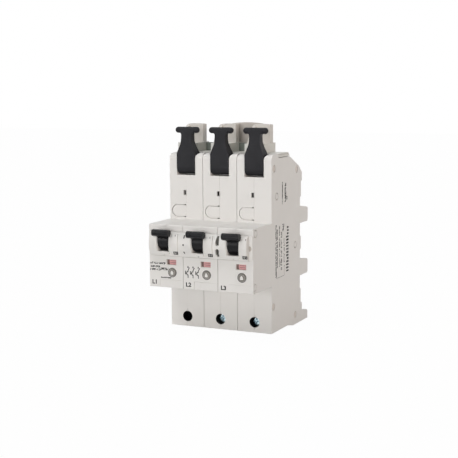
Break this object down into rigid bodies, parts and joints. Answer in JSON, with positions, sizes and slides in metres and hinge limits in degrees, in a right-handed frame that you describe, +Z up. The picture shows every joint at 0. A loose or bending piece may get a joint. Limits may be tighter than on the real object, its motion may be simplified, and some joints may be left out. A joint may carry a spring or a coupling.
{
  "type": "three-pole main circuit breaker",
  "caption": "Upright main circuit breaker with a stepped front, black clamp levers on top, tied toggles, and feet behind that hang on three flat busbars.",
  "frame": {"origin": "centre of the base of the bounding box at rest", "axes": "+Z up towards the clamp levers, -Y towards the toggles at the front, +X to the right seen from the front"},
  "size_m": [0.0808, 0.1136, 0.1516],
  "materials": {
    "case_plastic": "fine satin",
    "guide_plastic": "satin",
    "hood_plastic": "satin",
    "black_plastic": "satin",
    "toggle_plastic": "satin",
    "flag_red": "satin",
    "button_plastic": "satin",
    "zinc_steel": "zinc plated",
    "plunger_steel": "turned",
    "chute_steel": "dull",
    "copper": "bare copper",
    "winding": "lacquered copper wire",
    "plated_brass": "tin plated"
  },
  "bodies": {
    "case": {"case_left_1": "case_plastic", "case_right_1": "case_plastic", "clamp_guide_1": "guide_plastic", "busbar_contact_1": "copper", "trip_coil_1": "winding", "fixed_contact_1": "copper", "arc_chute_1": "chute_steel", "bimetal_strip_1": "copper", "case_left_2": "case_plastic", "case_right_2": "case_plastic", "clamp_guide_2": "guide_plastic", "busbar_contact_2": "copper", "trip_coil_2": "winding", "fixed_contact_2": "copper", "arc_chute_2": "chute_steel", "bimetal_strip_2": "copper", "case_left_3": "case_plastic", "case_right_3": "case_plastic", "clamp_guide_3": "guide_plastic", "busbar_contact_3": "copper", "trip_coil_3": "winding", "fixed_contact_3": "copper", "arc_chute_3": "chute_steel", "bimetal_strip_3": "copper", "lever_axle": "zinc_steel", "case_rivet_1": "zinc_steel", "case_rivet_2": "zinc_steel", "case_rivet_3": "zinc_steel"},
    "clamp_lever_1": {"lever_1": "black_plastic"},
    "clamp_lever_2": {"lever_2": "black_plastic"},
    "clamp_lever_3": {"lever_3": "black_plastic"},
    "clamp_1": {"clamp_slider_1": "hood_plastic", "busbar_hook_1": "zinc_steel"},
    "clamp_2": {"clamp_slider_2": "hood_plastic", "busbar_hook_2": "zinc_steel"},
    "clamp_3": {"clamp_slider_3": "hood_plastic", "busbar_hook_3": "zinc_steel"},
    "toggles": {"toggle_1": "toggle_plastic", "toggle_2": "toggle_plastic", "toggle_3": "toggle_plastic", "toggle_axle": "zinc_steel"},
    "contact_arms": {"contact_arm_1": "copper", "contact_arm_2": "copper", "contact_arm_3": "copper", "arm_axle": "zinc_steel"},
    "flag_1": {"indicator_flag_1": "flag_red"},
    "flag_2": {"indicator_flag_2": "flag_red"},
    "flag_3": {"indicator_flag_3": "flag_red"},
    "button_1": {"trip_button_1": "button_plastic"},
    "button_2": {"trip_button_2": "button_plastic"},
    "button_3": {"trip_button_3": "button_plastic"},
    "screw_1": {"terminal_screw_1": "zinc_steel"},
    "screw_2": {"terminal_screw_2": "zinc_steel"},
    "screw_3": {"terminal_screw_3": "zinc_steel"},
    "cage_1": {"terminal_cage_1": "plated_brass"},
    "cage_2": {"terminal_cage_2": "plated_brass"},
    "cage_3": {"terminal_cage_3": "plated_brass"},
    "plunger_1": {"trip_plunger_1": "plunger_steel"},
    "plunger_2": {"trip_plunger_2": "plunger_steel"},
    "plunger_3": {"trip_plunger_3": "plunger_steel"}
  },
  "joints": [
    {"name": "lever_hinge_1", "type": "hinge", "parent": "case", "child": "clamp_lever_1", "pos_m": [-0.027, -0.01005, 0.1204], "axis": [1, 0, 0], "range_deg": [0, 85]},
    {"name": "lever_hinge_2", "type": "hinge", "parent": "case", "child": "clamp_lever_2", "pos_m": [0, -0.01005, 0.1204], "axis": [1, 0, 0], "range_deg": [0, 85]},
    {"name": "lever_hinge_3", "type": "hinge", "parent": "case", "child": "clamp_lever_3", "pos_m": [0.027, -0.01005, 0.1204], "axis": [1, 0, 0], "range_deg": [0, 85]},
    {"name": "clamp_slide_1", "type": "slide", "parent": "case", "child": "clamp_1", "axis": [0, 0, 1], "range_m": [-0.0045, 0]},
    {"name": "clamp_slide_2", "type": "slide", "parent": "case", "child": "clamp_2", "axis": [0, 0, 1], "range_m": [-0.0045, 0]},
    {"name": "clamp_slide_3", "type": "slide", "parent": "case", "child": "clamp_3", "axis": [0, 0, 1], "range_m": [-0.0045, 0]},
    {"name": "toggle_hinge", "type": "hinge", "parent": "case", "child": "toggles", "pos_m": [0, -0.04505, 0.0708], "axis": [1, 0, 0], "range_deg": [0, 64]},
    {"name": "arm_hinge", "type": "hinge", "parent": "case", "child": "contact_arms", "pos_m": [0, -0.01745, 0.0642], "axis": [1, 0, 0], "range_deg": [-20, 0]},
    {"name": "flag_slide_1", "type": "slide", "parent": "case", "child": "flag_1", "axis": [0, 0, 1], "range_m": [0, 0.0044]},
    {"name": "flag_slide_2", "type": "slide", "parent": "case", "child": "flag_2", "axis": [0, 0, 1], "range_m": [0, 0.0044]},
    {"name": "flag_slide_3", "type": "slide", "parent": "case", "child": "flag_3", "axis": [0, 0, 1], "range_m": [0, 0.0044]},
    {"name": "button_slide_1", "type": "slide", "parent": "case", "child": "button_1", "axis": [0, 1, 0], "range_m": [0, 0.001], "stiffness_N_per_m": 150, "springref_m": -0.001},
    {"name": "button_slide_2", "type": "slide", "parent": "case", "child": "button_2", "axis": [0, 1, 0], "range_m": [0, 0.001], "stiffness_N_per_m": 150, "springref_m": -0.001},
    {"name": "button_slide_3", "type": "slide", "parent": "case", "child": "button_3", "axis": [0, 1, 0], "range_m": [0, 0.001], "stiffness_N_per_m": 150, "springref_m": -0.001},
    {"name": "screw_turn_1", "type": "hinge", "parent": "case", "child": "screw_1", "pos_m": [-0.027, -0.01465, 0.00965], "axis": [0, 1, 0], "range_deg": [0, 1620]},
    {"name": "screw_turn_2", "type": "hinge", "parent": "case", "child": "screw_2", "pos_m": [0, -0.01465, 0.00965], "axis": [0, 1, 0], "range_deg": [0, 1620]},
    {"name": "screw_turn_3", "type": "hinge", "parent": "case", "child": "screw_3", "pos_m": [0.027, -0.01465, 0.00965], "axis": [0, 1, 0], "range_deg": [0, 1620]},
    {"name": "cage_slide_1", "type": "slide", "parent": "case", "child": "cage_1", "axis": [0, -1, 0], "range_m": [0, 0.0036]},
    {"name": "cage_slide_2", "type": "slide", "parent": "case", "child": "cage_2", "axis": [0, -1, 0], "range_m": [0, 0.0036]},
    {"name": "cage_slide_3", "type": "slide", "parent": "case", "child": "cage_3", "axis": [0, -1, 0], "range_m": [0, 0.0036]},
    {"name": "plunger_slide_1", "type": "slide", "parent": "case", "child": "plunger_1", "axis": [0, 0, 1], "range_m": [-0.0022, 0], "stiffness_N_per_m": 60, "springref_m": 0.002},
    {"name": "plunger_slide_2", "type": "slide", "parent": "case", "child": "plunger_2", "axis": [0, 0, 1], "range_m": [-0.0022, 0], "stiffness_N_per_m": 60, "springref_m": 0.002},
    {"name": "plunger_slide_3", "type": "slide", "parent": "case", "child": "plunger_3", "axis": [0, 0, 1], "range_m": [-0.0022, 0], "stiffness_N_per_m": 60, "springref_m": 0.002}
  ],
  "couplings": [
    {"joint": "lever_hinge_1", "follows": "clamp_slide_1", "rad_per_m": -329.6},
    {"joint": "lever_hinge_2", "follows": "clamp_slide_2", "rad_per_m": -329.6},
    {"joint": "lever_hinge_3", "follows": "clamp_slide_3", "rad_per_m": -329.6},
    {"joint": "arm_hinge", "follows": "toggle_hinge", "ratio": -0.312},
    {"joint": "flag_slide_1", "follows": "toggle_hinge", "m_per_rad": 0.0039},
    {"joint": "flag_slide_2", "follows": "toggle_hinge", "m_per_rad": 0.0039},
    {"joint": "flag_slide_3", "follows": "toggle_hinge", "m_per_rad": 0.0039},
    {"joint": "screw_turn_1", "follows": "cage_slide_1", "rad_per_m": 7854},
    {"joint": "screw_turn_2", "follows": "cage_slide_2", "rad_per_m": 7854},
    {"joint": "screw_turn_3", "follows": "cage_slide_3", "rad_per_m": 7854}
  ]
}
